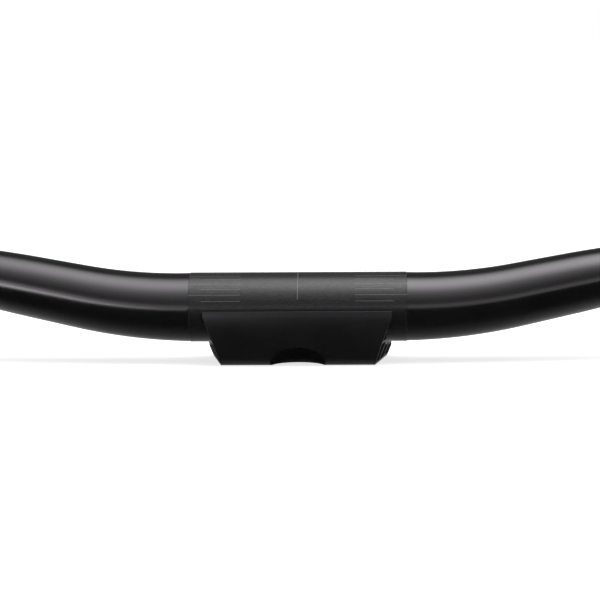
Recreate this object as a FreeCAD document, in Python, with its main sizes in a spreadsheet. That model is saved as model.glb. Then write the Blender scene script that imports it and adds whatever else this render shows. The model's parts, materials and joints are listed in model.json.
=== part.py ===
import FreeCAD, Part
import math
import os
from enum import IntEnum, auto

import Sketcher
from FreeCAD import Placement, Rotation, Vector

# Riser handlebar in a moulded cradle, in millimetres.
# X runs along the clamp zone, Y to the rear (the way the grips sweep) and Z up.
# The origin is the middle of the clamp zone, on the bar's axis.

SIZES = {
    # Line of the bar, from the middle outwards
    "bar_width": 800.0,
    "clamp_zone_length": 109.0,
    "first_bend_radius": 270.0,
    "riser_rise_angle": 11.1,
    "riser_sweep_angle": 4.0,
    "riser_length": 56.0,
    "second_bend_radius": 200.0,
    "upsweep_angle": 5.0,
    "backsweep_angle": 8.0,
    "taper_run_out": 34.0,
    # Section of the bar along that line
    "clamp_diameter": 35.0,
    "shoulder_diameter": 34.6,
    "riser_diameter": 30.8,
    "grip_diameter": 22.2,
    "clamp_wall": 2.2,
    "grip_wall": 1.7,
    "bar_end_round": 0.5,
    # Outside of the cradle
    "cradle_width": 93.8,
    "front_rim_width": 5.8,
    "back_rim_width": 3.3,
    "rim_height": 0.5,
    "base_drop": 27.6,
    "bulge_radius": 37.0,
    "bulge_drop": 5.0,
    "base_edge_radius": 3.0,
    "rim_edge_radius": 0.8,
    "mouth_radius": 1.5,
    "end_edge_radius": 0.4,
    "seat_clearance": 0.2,
    # Ends of the cradle: they lean in towards the base and towards the front
    "end_cut_drop": 12.9,
    "end_lean_angle": 21.4,
    "end_splay_angle": 10.1,
    # Cored-out ends of the cradle
    "cradle_wall": 1.4,
    "rib_thickness": 1.4,
    "rib_spacing": 13.0,
    "core_width": 34.0,
    "front_pocket_drop": 11.0,
    "front_web_drop": 15.0,
    "rear_pocket_drop": 20.5,
    # Scoop in the lower front edge
    "scoop_radius": 14.7,
    "scoop_drop": 5.6,
    "scoop_setback": 5.0,
}
# Circles in each taper's loft, how far a cutting tool overruns, and when two lengths are the same
TAPER_STATIONS = 17
OVERRUN = 10.0
CLOSE = 0.01
RIGHT = Vector(1, 0, 0)

doc = FreeCAD.newDocument("riser_handlebar")
sheet = doc.addObject("Spreadsheet::Sheet", "sizes")
for row, (alias, value) in enumerate(SIZES.items(), start=1):
    sheet.set(f"A{row}", alias)
    sheet.set(f"B{row}", str(value))
    sheet.setAlias(f"B{row}", alias)
doc.recompute()


def size(alias):
    """A driving dimension, as the sheet holds it."""
    return float(sheet.get(alias))


def cell(text):
    """An expression on the sheet: each word in it that is an alias gets the sheet's name."""
    words = text.split()
    return " ".join(f"sizes.{word}" if word in SIZES else word for word in words)


# Line of the bar


class Centreline:
    """The bar's right half as straights and tangent arcs, measured by length from the middle."""

    def __init__(self):
        self.spans = []
        self.length = 0.0
        self.end = Vector(0, 0, 0)
        self.heading = RIGHT

    def straight(self, length):
        """Goes on along the heading."""
        start, heading = self.end, self.heading
        self.spans.append((self.length, lambda along: (start + heading * along, heading)))
        self.end = start + heading * length
        self.length += length

    def bend(self, radius, heading):
        """Turns into a new heading on an arc."""
        start, old = self.end, self.heading
        axis = old.cross(heading).normalize()
        inward = axis.cross(old)

        def on_arc(along):
            turn = Rotation(axis, math.degrees(along / radius))
            return start + (inward - turn.multVec(inward)) * radius, turn.multVec(old)

        arc_length = radius * old.getAngle(heading)
        self.spans.append((self.length, on_arc))
        self.end, self.heading = on_arc(arc_length)
        self.length += arc_length

    def at(self, distance):
        """The placement of a section there: its own Z runs along the bar."""
        begins, span = [found for found in self.spans if found[0] <= distance][-1]
        point, heading = span(distance - begins)
        return Placement(point, Rotation(Vector(0, 0, 1), heading))


def heading_of(rise, sweep):
    """The direction that rises and sweeps to the rear by these angles."""
    rise, sweep = math.radians(rise), math.radians(sweep)
    return Vector(math.cos(rise) * math.cos(sweep), math.cos(rise) * math.sin(sweep), math.sin(rise))


line_of_bar = Centreline()
line_of_bar.straight(size("clamp_zone_length") / 2)
zone_end = line_of_bar.length
line_of_bar.bend(size("first_bend_radius"), heading_of(size("riser_rise_angle"), size("riser_sweep_angle")))
riser_middle = line_of_bar.length + size("riser_length") / 2
line_of_bar.straight(size("riser_length"))
line_of_bar.bend(size("second_bend_radius"), heading_of(size("upsweep_angle"), size("backsweep_angle")))
grip_start = line_of_bar.length + size("taper_run_out")
end_face_overhang = size("grip_diameter") / 2 * math.sqrt(1 - line_of_bar.heading.x**2)
line_of_bar.straight((size("bar_width") / 2 - end_face_overhang - line_of_bar.end.x) / line_of_bar.heading.x)
grip_length = line_of_bar.length - grip_start


# Section of the bar along its line


def outer_radius(distance):
    """An even taper to the middle of the riser, then a smooth run down to the grip."""
    shoulder, riser, grip = (size(f"{name}_diameter") / 2 for name in ("shoulder", "riser", "grip"))
    slope = (riser - shoulder) / (riser_middle - zone_end)
    if distance <= riser_middle:
        return shoulder + slope * (distance - zone_end)
    run = grip_start - riser_middle
    share = (distance - riser_middle) / run
    fall = (grip - riser) * (3 - 2 * share) * share**2
    return riser + fall + slope * run * share * (1 - share) ** 2


def bore_radius(distance):
    """The wall thins evenly from the clamp zone to the grip."""
    share = (distance - zone_end) / (grip_start - zone_end)
    wall = size("clamp_wall") + (size("grip_wall") - size("clamp_wall")) * share
    return outer_radius(distance) - wall


def fused(name, shapes):
    """Several shapes as one."""
    fuse = doc.addObject("Part::MultiFuse", name)
    fuse.Shapes = shapes
    fuse.Refine = True
    return fuse


def mirrored(source):
    """The same shape on the bar's left half."""
    mirror = doc.addObject("Part::Mirroring", f"left_{source.Name}")
    mirror.Source = source
    mirror.Normal = RIGHT
    return mirror


def round_bar(name, radius, length, placement):
    """A cylinder along a placement's own Z, with its sizes bound to the sheet."""
    bar = doc.addObject("Part::Cylinder", name)
    bar.setExpression("Radius", cell(radius))
    bar.Height = length
    bar.Placement = placement
    return bar


def taper(name, radius_at):
    """A loft through circles along the bends, from the clamp zone to the grip."""
    circles = []
    for station in range(TAPER_STATIONS):
        distance = zone_end + (grip_start - zone_end) * station / (TAPER_STATIONS - 1)
        circle = doc.addObject("Part::Circle", f"{name}_section")
        circle.Radius = radius_at(distance)
        circle.Placement = line_of_bar.at(distance)
        circles.append(circle)
    loft = doc.addObject("Part::Loft", name)
    loft.Sections = circles
    loft.Solid = True
    return loft


def make_handlebar():
    """The tube: clamp zone, tapered bends and straight grips, bored from end to end."""
    grip_place = line_of_bar.at(grip_start)
    zone_place = Placement(RIGHT * -zone_end, Rotation(Vector(0, 0, 1), RIGHT))
    zone = round_bar("clamp_zone", "clamp_diameter / 2", 2 * zone_end, zone_place)
    grip = round_bar("grip_seat", "grip_diameter / 2", grip_length, grip_place)
    wing = fused("wing", [taper("taper_outside", outer_radius), grip])
    outside = fused("bar_outside", [zone, wing, mirrored(wing)])

    zone_bore = round_bar("clamp_bore", "shoulder_diameter / 2 - clamp_wall", 2 * zone_end, zone_place)
    grip_bore = round_bar("grip_bore", "grip_diameter / 2 - grip_wall", grip_length + OVERRUN, grip_place)
    wing_bore = fused("wing_bore", [taper("taper_bore", bore_radius), grip_bore])
    bore = fused("bar_bore", [zone_bore, wing_bore, mirrored(wing_bore)])

    tube = doc.addObject("Part::Cut", "bar_tube")
    tube.Base = outside
    tube.Tool = bore
    doc.recompute()

    handlebar = doc.addObject("Part::Fillet", "handlebar")
    handlebar.Base = tube
    rim = size("bar_end_round")
    tip = line_of_bar.end
    handlebar.Edges = [
        (number, rim, rim)
        for number, edge in enumerate(tube.Shape.Edges, start=1)
        if is_outer_tip_edge(edge, tip)
    ]
    return handlebar


def is_outer_tip_edge(edge, tip):
    """Whether an edge is the outer circle of one of the bar's two end faces."""
    middle = edge.CenterOfMass
    at_tip = Vector(abs(middle.x), middle.y, middle.z).distanceToPoint(tip) < size("grip_wall") / 2
    return at_tip and edge.Length > 2 * math.pi * (size("grip_diameter") - size("grip_wall")) / 2


# Sketches of the cradle


def plane(body, role):
    """One of a body's own origin planes."""
    return next(found for found in body.Origin.OriginFeatures if found.Role == role)


def new_sketch(body, name, role):
    """An empty sketch on one of the body's origin planes."""
    sketch = body.newObject("Sketcher::SketchObject", name)
    sketch.AttachmentSupport = [(plane(body, role), "")]
    sketch.MapMode = "FlatFace"
    return sketch


class Spot(IntEnum):
    """The points of a sketch's edge, in the order that the sketcher counts them."""

    START = auto()
    END = auto()
    CENTRE = auto()


class Outline:
    """One closed loop of a sketch, drawn edge by edge and held by constraints on the sheet."""

    def __init__(self, sketch):
        self.sketch = sketch
        self.joints = []

    def line(self, start, end, direction=None):
        """Draws a line, level or upright where that is asked for."""
        edge = self.sketch.addGeometry(Part.LineSegment(Vector(*start, 0), Vector(*end, 0)), False)
        self.joints.append((edge, Spot.START, Spot.END))
        if direction:
            self.sketch.addConstraint(Sketcher.Constraint(direction, edge))
        return edge

    def arc(self, centre, radius, start, end, backwards=False):
        """Draws an arc from point to point, counter-clockwise unless it is backwards."""
        first, last = (end, start) if backwards else (start, end)
        angles = [math.atan2(point[1] - centre[1], point[0] - centre[0]) for point in (first, last)]
        circle = Part.Circle(Vector(*centre, 0), Vector(0, 0, 1), radius)
        edge = self.sketch.addGeometry(Part.ArcOfCircle(circle, *angles), False)
        ends = (Spot.END, Spot.START) if backwards else (Spot.START, Spot.END)
        self.joints.append((edge, *ends))
        return edge

    def close(self, tangent=()):
        """Joins each edge to the next, smoothly where the pair is listed."""
        for (edge, _, leaves), (follower, enters, _) in zip(self.joints, self.joints[1:] + self.joints[:1]):
            kind = "Tangent" if (edge, follower) in tangent else "Coincident"
            self.sketch.addConstraint(Sketcher.Constraint(kind, edge, leaves, follower, enters))

    def bind_radius(self, edge, text):
        """Ties an arc's radius to the sheet."""
        constraint = Sketcher.Constraint("Radius", edge, self.sketch.Geometry[edge].Radius)
        self.bind(constraint, text)

    def bind_across(self, edge, point, text):
        """Ties a point's place across the sketch to the sheet."""
        there = self.sketch.getPoint(edge, point).x
        self.bind(Sketcher.Constraint("DistanceX", -1, Spot.START, edge, point, there), text)

    def bind_height(self, edge, point, text):
        """Ties a point's height in the sketch to the sheet."""
        there = self.sketch.getPoint(edge, point).y
        self.bind(Sketcher.Constraint("DistanceY", -1, Spot.START, edge, point, there), text)

    def bind(self, constraint, text):
        """Adds a dimension that an expression on the sheet drives."""
        index = self.sketch.addConstraint(constraint)
        self.sketch.setExpression(f"Constraints[{index}]", cell(text))

    def centre_on_bar(self, edge, radius):
        """Makes an arc run round the bar's axis."""
        self.sketch.addConstraint(Sketcher.Constraint("Coincident", edge, Spot.CENTRE, -1, Spot.START))
        self.bind_radius(edge, radius)

    def centre_on_bulge(self, edge, radius):
        """Makes an arc run round the axis of the cradle's bulged front."""
        self.bind_across(edge, Spot.CENTRE, f"bulge_radius - {FRONT}")
        self.bind_height(edge, Spot.CENTRE, "- bulge_drop")
        self.bind_radius(edge, radius)


# Cradle

seat_radius = size("clamp_diameter") / 2 + size("seat_clearance")
cradle_front = seat_radius + size("front_rim_width")
cradle_back = seat_radius + size("back_rim_width")
bulge_axis = (size("bulge_radius") - cradle_front, -size("bulge_drop"))
floor_height = size("cradle_wall") - size("base_drop")
SEAT = "clamp_diameter / 2 + seat_clearance"
SEAT_BACK = f"{SEAT} + cradle_wall"
FRONT = f"( {SEAT} + front_rim_width )"
BACK = f"( {SEAT} + back_rim_width )"
FRONT_INSIDE = "bulge_radius - cradle_wall"
RIB_OUTSIDE = "( rib_spacing + rib_thickness ) / 2"
RIB_INSIDE = "( rib_spacing - rib_thickness ) / 2"


def on_bulge(radius, height):
    """The point at a height on a circle round the bulge's axis, on the front side."""
    return bulge_axis[0] - math.sqrt(radius**2 - (height - bulge_axis[1]) ** 2), height


def under_bar(radius, across):
    """The point across the bar on a circle round its axis, on the lower side."""
    return across, -math.sqrt(radius**2 - across**2)


def beside_bar(radius, height):
    """The point at a height on a circle round the bar's axis, on the front side."""
    return -math.sqrt(radius**2 - height**2), height


def draw_section(sketch):
    """The cradle's outer section: bulged front, rounded base, upright back and half-round seat."""
    rim, base, back = size("rim_height"), -size("base_drop"), cradle_back
    bulge, edge = size("bulge_radius"), size("base_edge_radius")
    front_rim = on_bulge(bulge, rim)
    corner = on_bulge(bulge - edge, base + edge)
    reach = bulge / (bulge - edge)
    blend = tuple(axis + (at - axis) * reach for axis, at in zip(bulge_axis, corner))
    mouth = size("mouth_radius")
    mouth_front = beside_bar(seat_radius + mouth, rim - mouth)
    seat_front = tuple(at * seat_radius / (seat_radius + mouth) for at in mouth_front)
    mouth_back, seat_back = (-mouth_front[0], mouth_front[1]), (-seat_front[0], seat_front[1])

    outline = Outline(sketch)
    front = outline.arc(bulge_axis, bulge, front_rim, blend)
    front_edge = outline.arc(corner, edge, blend, (corner[0], base))
    floor = outline.line((corner[0], base), (back - edge, base), "Horizontal")
    back_edge = outline.arc((back - edge, base + edge), edge, (back - edge, base), (back, base + edge))
    wall = outline.line((back, base + edge), (back, rim), "Vertical")
    back_rim = outline.line((back, rim), (mouth_back[0], rim), "Horizontal")
    back_mouth = outline.arc(mouth_back, mouth, (mouth_back[0], rim), seat_back)
    seat = outline.arc((0, 0), seat_radius, seat_back, seat_front, backwards=True)
    front_mouth = outline.arc(mouth_front, mouth, seat_front, (mouth_front[0], rim))
    front_lip = outline.line((mouth_front[0], rim), front_rim, "Horizontal")
    below = ((front, front_edge), (front_edge, floor), (floor, back_edge), (back_edge, wall))
    above = ((back_rim, back_mouth), (back_mouth, seat), (seat, front_mouth), (front_mouth, front_lip))
    outline.close(tangent=below + above)
    outline.centre_on_bulge(front, "bulge_radius")
    outline.centre_on_bar(seat, SEAT)
    outline.bind_radius(front_edge, "base_edge_radius")
    outline.bind_radius(back_edge, "base_edge_radius")
    outline.bind_radius(back_mouth, "mouth_radius")
    outline.bind_radius(front_mouth, "mouth_radius")
    outline.bind_height(floor, Spot.START, "- base_drop")
    outline.bind_across(wall, Spot.END, BACK)
    outline.bind_height(back_rim, Spot.START, "rim_height")
    outline.bind_height(front_lip, Spot.START, "rim_height")


def draw_end_cut(sketch):
    """What the leaning end takes off, as it is in the plane through the bar's axis."""
    lean = math.tan(math.radians(size("end_lean_angle")))
    half, drop = size("cradle_width") / 2, size("end_cut_drop")
    top = cradle_front + cradle_back
    bottom = -size("base_drop") - OVERRUN
    upper = (half + (top + drop) * lean, top)
    lower = (half + (bottom + drop) * lean, bottom)
    outline = Outline(sketch)
    outline.line(upper, lower)
    outline.line(lower, (upper[0], bottom), "Horizontal")
    outline.line((upper[0], bottom), upper, "Vertical")
    outline.close()


def draw_front_pockets(sketch):
    """The two pockets between the bulged front and the seat, one above the other, with a web between."""
    inside, seat_back = size("bulge_radius") - size("cradle_wall"), seat_radius + size("cradle_wall")
    rib = -(size("rib_spacing") + size("rib_thickness")) / 2
    top, web = -size("front_pocket_drop"), -size("front_web_drop")
    below = web - size("rib_thickness")

    upper = Outline(sketch)
    front = upper.arc(bulge_axis, inside, on_bulge(inside, top), on_bulge(inside, web))
    seat_low, seat_high = beside_bar(seat_back, web), beside_bar(seat_back, top)
    floor = upper.line(on_bulge(inside, web), seat_low, "Horizontal")
    seat = upper.arc((0, 0), seat_back, seat_low, seat_high, backwards=True)
    ceiling = upper.line(seat_high, on_bulge(inside, top), "Horizontal")
    upper.close()
    upper.centre_on_bulge(front, FRONT_INSIDE)
    upper.centre_on_bar(seat, SEAT_BACK)
    upper.bind_height(floor, Spot.START, "- front_web_drop")
    upper.bind_height(ceiling, Spot.START, "- front_pocket_drop")

    lower = Outline(sketch)
    front = lower.arc(bulge_axis, inside, on_bulge(inside, below), on_bulge(inside, floor_height))
    floor = lower.line(on_bulge(inside, floor_height), (rib, floor_height), "Horizontal")
    seat_low, seat_high = under_bar(seat_back, rib), beside_bar(seat_back, below)
    lower.line((rib, floor_height), seat_low, "Vertical")
    seat = lower.arc((0, 0), seat_back, seat_low, seat_high, backwards=True)
    ceiling = lower.line(seat_high, on_bulge(inside, below), "Horizontal")
    lower.close()
    lower.centre_on_bulge(front, FRONT_INSIDE)
    lower.centre_on_bar(seat, SEAT_BACK)
    lower.bind_height(floor, Spot.START, "cradle_wall - base_drop")
    lower.bind_across(floor, Spot.END, f"- {RIB_OUTSIDE}")
    lower.bind_height(ceiling, Spot.START, "- front_web_drop - rib_thickness")


def draw_middle_pocket(sketch):
    """The pocket under the bar, between the two ribs."""
    seat_back = seat_radius + size("cradle_wall")
    rib = (size("rib_spacing") - size("rib_thickness")) / 2
    outline = Outline(sketch)
    floor = outline.line((-rib, floor_height), (rib, floor_height), "Horizontal")
    back, front = under_bar(seat_back, rib), under_bar(seat_back, -rib)
    outline.line((rib, floor_height), back, "Vertical")
    seat = outline.arc((0, 0), seat_back, back, front, backwards=True)
    outline.line(front, (-rib, floor_height), "Vertical")
    outline.close()
    outline.centre_on_bar(seat, SEAT_BACK)
    outline.bind_height(floor, Spot.START, "cradle_wall - base_drop")
    outline.bind_across(floor, Spot.START, f"- {RIB_INSIDE}")
    outline.bind_across(floor, Spot.END, RIB_INSIDE)


def draw_rear_pocket(sketch):
    """The pocket along the cradle's back."""
    rib = (size("rib_spacing") + size("rib_thickness")) / 2
    wall, top = cradle_back - size("cradle_wall"), -size("rear_pocket_drop")
    outline = Outline(sketch)
    floor = outline.line((rib, floor_height), (wall, floor_height), "Horizontal")
    outline.line((wall, floor_height), (wall, top), "Vertical")
    ceiling = outline.line((wall, top), (rib, top), "Horizontal")
    outline.line((rib, top), (rib, floor_height), "Vertical")
    outline.close()
    outline.bind_height(floor, Spot.START, "cradle_wall - base_drop")
    outline.bind_across(floor, Spot.START, RIB_OUTSIDE)
    outline.bind_across(floor, Spot.END, f"{BACK} - cradle_wall")
    outline.bind_height(ceiling, Spot.START, "- rear_pocket_drop")


def edges_where(shape, wanted):
    """The names of a shape's edges for which a test is true."""
    return [f"Edge{number}" for number, edge in enumerate(shape.Edges, start=1) if wanted(edge)]


def is_rim_edge(edge):
    """Whether an edge is one of the long outer edges of the cradle's rim."""
    box = edge.BoundBox
    at_rim = abs(box.ZMin - size("rim_height")) + abs(box.ZMax - size("rim_height")) < size("rim_edge_radius")
    outside = min(abs(box.YMin), abs(box.YMax)) > seat_radius + size("mouth_radius")
    return at_rim and outside and box.XLength > size("core_width") and box.YLength < size("rim_edge_radius")


def is_end_edge(shape, edge):
    """Whether an edge runs round the outside of one of the cradle's ends."""
    faces = shape.ancestorsOfType(edge, Part.Face)
    ends = [face for face in faces if abs(face.normalAt(0, 0).x) > abs(face.normalAt(0, 0).z)]
    along_seat = all(abs(math.hypot(corner.Y, corner.Z) - seat_radius) < CLOSE for corner in edge.Vertexes)
    return len(ends) == 1 and not along_seat


def mirror_of(body, name, feature):
    """The same feature on the cradle's left half."""
    mirror = body.newObject("PartDesign::Mirrored", name)
    mirror.Originals = [feature]
    mirror.MirrorPlane = (plane(body, "YZ_Plane"), [""])
    body.Tip = mirror
    return mirror


def make_cradle():
    """The moulded block under the bar: a padded section with leaning, cored-out ends and a scoop."""
    body = doc.addObject("PartDesign::Body", "cradle")

    section = new_sketch(body, "section", "YZ_Plane")
    draw_section(section)
    block = body.newObject("PartDesign::Pad", "block")
    block.Profile = section
    block.SideType = "Symmetric"
    block.setExpression("Length", cell("cradle_width"))
    doc.recompute()

    rim = body.newObject("PartDesign::Fillet", "rim_edges")
    rim.Base = (block, edges_where(block.Shape, is_rim_edge))
    rim.setExpression("Radius", cell("rim_edge_radius"))
    doc.recompute()

    end_outline = new_sketch(body, "end_outline", "XZ_Plane")
    draw_end_cut(end_outline)
    end_cut = body.newObject("PartDesign::Pocket", "end_cut")
    end_cut.Profile = end_outline
    end_cut.SideType = "Symmetric"
    end_cut.Length = 4 * (cradle_front + cradle_back)
    end_cut.UseCustomVector = True
    end_cut.Direction = Vector(math.tan(math.radians(size("end_splay_angle"))), 1, 0)
    doc.recompute()
    both_ends = mirror_of(body, "left_end_cut", end_cut)
    doc.recompute()

    ends = body.newObject("PartDesign::Fillet", "end_edges")
    ends.Base = (both_ends, edges_where(both_ends.Shape, lambda edge: is_end_edge(both_ends.Shape, edge)))
    ends.setExpression("Radius", cell("end_edge_radius"))
    doc.recompute()

    pockets = new_sketch(body, "pockets", "YZ_Plane")
    pockets.setExpression("AttachmentOffset.Base.z", cell("core_width / 2"))
    draw_front_pockets(pockets)
    draw_middle_pocket(pockets)
    draw_rear_pocket(pockets)
    coring = body.newObject("PartDesign::Pocket", "coring")
    coring.Profile = pockets
    coring.Type = "ThroughAll"
    coring.Reversed = True
    doc.recompute()
    mirror_of(body, "left_coring", coring)
    doc.recompute()

    scoop = body.newObject("PartDesign::SubtractiveSphere", "scoop")
    scoop.setExpression("Radius", cell("scoop_radius"))
    scoop.setExpression("Placement.Base.y", cell(f"scoop_setback - {FRONT}"))
    scoop.setExpression("Placement.Base.z", cell("- base_drop - scoop_drop"))
    doc.recompute()
    return body


# Build, check and write


def check_document():
    """Stops if a feature failed or a sub-part has no sound solid."""
    failed = [found.Name for found in doc.Objects if {"Invalid", "Error"} & set(found.State)]
    if failed:
        raise RuntimeError(f"features failed: {failed}")
    for piece in pieces:
        if piece.Shape.isNull() or not piece.Shape.isValid() or len(piece.Shape.Solids) != 1:
            raise RuntimeError(f"no sound solid: {piece.Label}")


pieces = [make_handlebar(), make_cradle()]
doc.recompute()
check_document()
os.makedirs("parts", exist_ok=True)
for piece in pieces:
    piece.Shape.exportStep(os.path.join("parts", f"{piece.Label}.step"))
    print(f"{piece.Label}: {piece.Shape.Volume / 1000:.2f} cm3")
print(f"grip: {grip_length:.1f} long from {line_of_bar.at(grip_start).Base} to {line_of_bar.end}")
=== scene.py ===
"""Looks of a riser handlebar that rests in a moulded cradle, in metres and in the frame of its solids.

X runs along the clamp zone, Y to the rear, the way the grips sweep, and Z up.
"""

import json
import logging
import math
from dataclasses import dataclass
from enum import Enum
from itertools import pairwise

import bpy
from mathutils import Matrix, Vector


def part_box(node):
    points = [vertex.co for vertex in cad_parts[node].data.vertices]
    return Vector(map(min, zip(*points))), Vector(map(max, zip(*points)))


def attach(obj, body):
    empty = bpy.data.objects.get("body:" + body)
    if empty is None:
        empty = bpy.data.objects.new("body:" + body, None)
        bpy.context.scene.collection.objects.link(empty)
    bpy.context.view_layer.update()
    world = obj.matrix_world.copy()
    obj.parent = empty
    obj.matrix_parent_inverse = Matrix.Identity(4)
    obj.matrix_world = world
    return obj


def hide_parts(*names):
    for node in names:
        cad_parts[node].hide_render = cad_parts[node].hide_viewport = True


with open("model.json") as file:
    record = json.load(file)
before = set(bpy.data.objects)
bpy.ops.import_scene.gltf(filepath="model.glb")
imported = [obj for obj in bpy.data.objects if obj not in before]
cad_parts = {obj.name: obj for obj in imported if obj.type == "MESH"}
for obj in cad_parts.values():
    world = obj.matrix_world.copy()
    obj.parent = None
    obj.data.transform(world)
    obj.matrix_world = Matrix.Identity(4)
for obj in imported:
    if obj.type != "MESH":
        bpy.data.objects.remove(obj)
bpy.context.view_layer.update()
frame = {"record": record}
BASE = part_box("cradle")[0][2]

log = logging.getLogger("riser_handlebar")
MM = 0.001
MERGE = 0.001 * MM
RIGHT = Vector((1.0, 0.0, 0.0))
ORIGIN = (0.0, 0.0, 0.0)
SORTING_CORNER = (0.3, 0.17, 0.11)
Colour = tuple[float, float, float, float]
Place = tuple[float, float]


class Side(Enum):
    """An end of the cradle, as the sign of its X."""

    LEFT = -1
    RIGHT = 1


def grey(value: float) -> Colour:
    """A neutral colour."""
    return (value, value, value, 1.0)


def mount_size(name: str, key: str) -> float:
    """A size of one of the part's mounts, in metres."""
    found = next(mount for mount in frame["record"]["mounts"] if mount["name"] == name)
    return found["dims"][key] * MM


# Modelling by hand


def deselect_all() -> None:
    """Deselects every object, ahead of a new primitive."""
    bpy.ops.object.select_all(action="DESELECT")


def select_only(piece: bpy.types.Object) -> None:
    """Selects one object, in object mode, and makes it active.

    Args:
        piece: The object.
    """
    deselect_all()
    piece.select_set(True)
    bpy.context.view_layer.objects.active = piece


def settle(name: str) -> bpy.types.Object:
    """Names the active object and puts its place into its mesh.

    Args:
        name: The piece's name.

    Returns:
        The object, at the origin, unturned and unscaled.
    """
    piece = bpy.context.object
    select_only(piece)
    piece.name = name
    piece.data.name = name
    bpy.ops.object.transform_apply(location=True, rotation=True, scale=True)
    return piece


def edit(piece: bpy.types.Object) -> None:
    """Starts edit mode on one object with all of it selected.

    Args:
        piece: The object.
    """
    select_only(piece)
    bpy.ops.object.mode_set(mode="EDIT")
    bpy.ops.mesh.select_all(action="SELECT")


def leave_edit() -> None:
    """Goes back to object mode."""
    bpy.ops.object.mode_set(mode="OBJECT")


def extrude(step: Vector | tuple[float, float, float]) -> None:
    """Extrudes what is selected by a step."""
    bpy.ops.mesh.extrude_region_move(TRANSFORM_OT_translate={"value": step})


def close_skin(piece: bpy.types.Object) -> None:
    """Merges the doubles of a piece and turns its faces outwards.

    Args:
        piece: The object.
    """
    edit(piece)
    bpy.ops.mesh.remove_doubles(threshold=MERGE)
    bpy.ops.mesh.normals_make_consistent(inside=False)
    leave_edit()


def join(parts: list[bpy.types.Object], name: str) -> bpy.types.Object:
    """Joins several objects into one.

    Args:
        parts: The objects.
        name: The name of the whole.

    Returns:
        The whole, with its skin closed.
    """
    select_only(parts[0])
    for part in parts:
        part.select_set(True)
    bpy.ops.object.join()
    whole = settle(name)
    close_skin(whole)
    return whole


def apply_modifier(piece: bpy.types.Object, kind: str, **settings: object) -> None:
    """Adds a modifier to a piece and applies it.

    Args:
        piece: The object.
        kind: The modifier's type.
        **settings: The modifier's values.
    """
    select_only(piece)
    modifier = piece.modifiers.new(kind.lower(), kind)
    for key, value in settings.items():
        setattr(modifier, key, value)
    bpy.ops.object.modifier_apply(modifier=modifier.name)


def mirror(piece: bpy.types.Object) -> None:
    """Adds its left half to the right half of a piece."""
    apply_modifier(piece, "MIRROR", use_axis=(True, False, False), merge_threshold=MERGE)
    close_skin(piece)


def put_in_order(piece: bpy.types.Object) -> None:
    """Sorts the points, edges and faces of a piece by their distance from a corner.

    Args:
        piece: The object.
    """
    cursor = bpy.context.scene.cursor
    cursor.location = SORTING_CORNER
    edit(piece)
    bpy.ops.mesh.sort_elements(type="CURSOR_DISTANCE", elements={"VERT", "EDGE", "FACE"})
    leave_edit()
    cursor.location = ORIGIN


def carve(piece: bpy.types.Object, cutter: bpy.types.Object) -> None:
    """Cuts one object with another, and sorts its mesh, because a cut's order changes from run to run.

    Args:
        piece: The object that stays.
        cutter: The object that is used up.
    """
    apply_modifier(piece, "BOOLEAN", object=cutter, operation="DIFFERENCE", solver="EXACT")
    bpy.data.objects.remove(cutter)
    put_in_order(piece)


def smooth(piece: bpy.types.Object, degrees: float) -> None:
    """Shades a piece smooth, with an edge where its faces turn by more than an angle."""
    select_only(piece)
    bpy.ops.object.shade_smooth_by_angle(angle=math.radians(degrees))


def dress(piece: bpy.types.Object, material: bpy.types.Material) -> None:
    """Gives a piece one material."""
    piece.data.materials.clear()
    piece.data.materials.append(material)


# Finishes


@dataclass(frozen=True)
class Fade:
    """A smooth change over a stretch of some measure, from a first level at its start to a last one."""

    start: float
    end: float
    first: float | bpy.types.NodeSocket = 0.0
    last: float = 1.0


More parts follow.
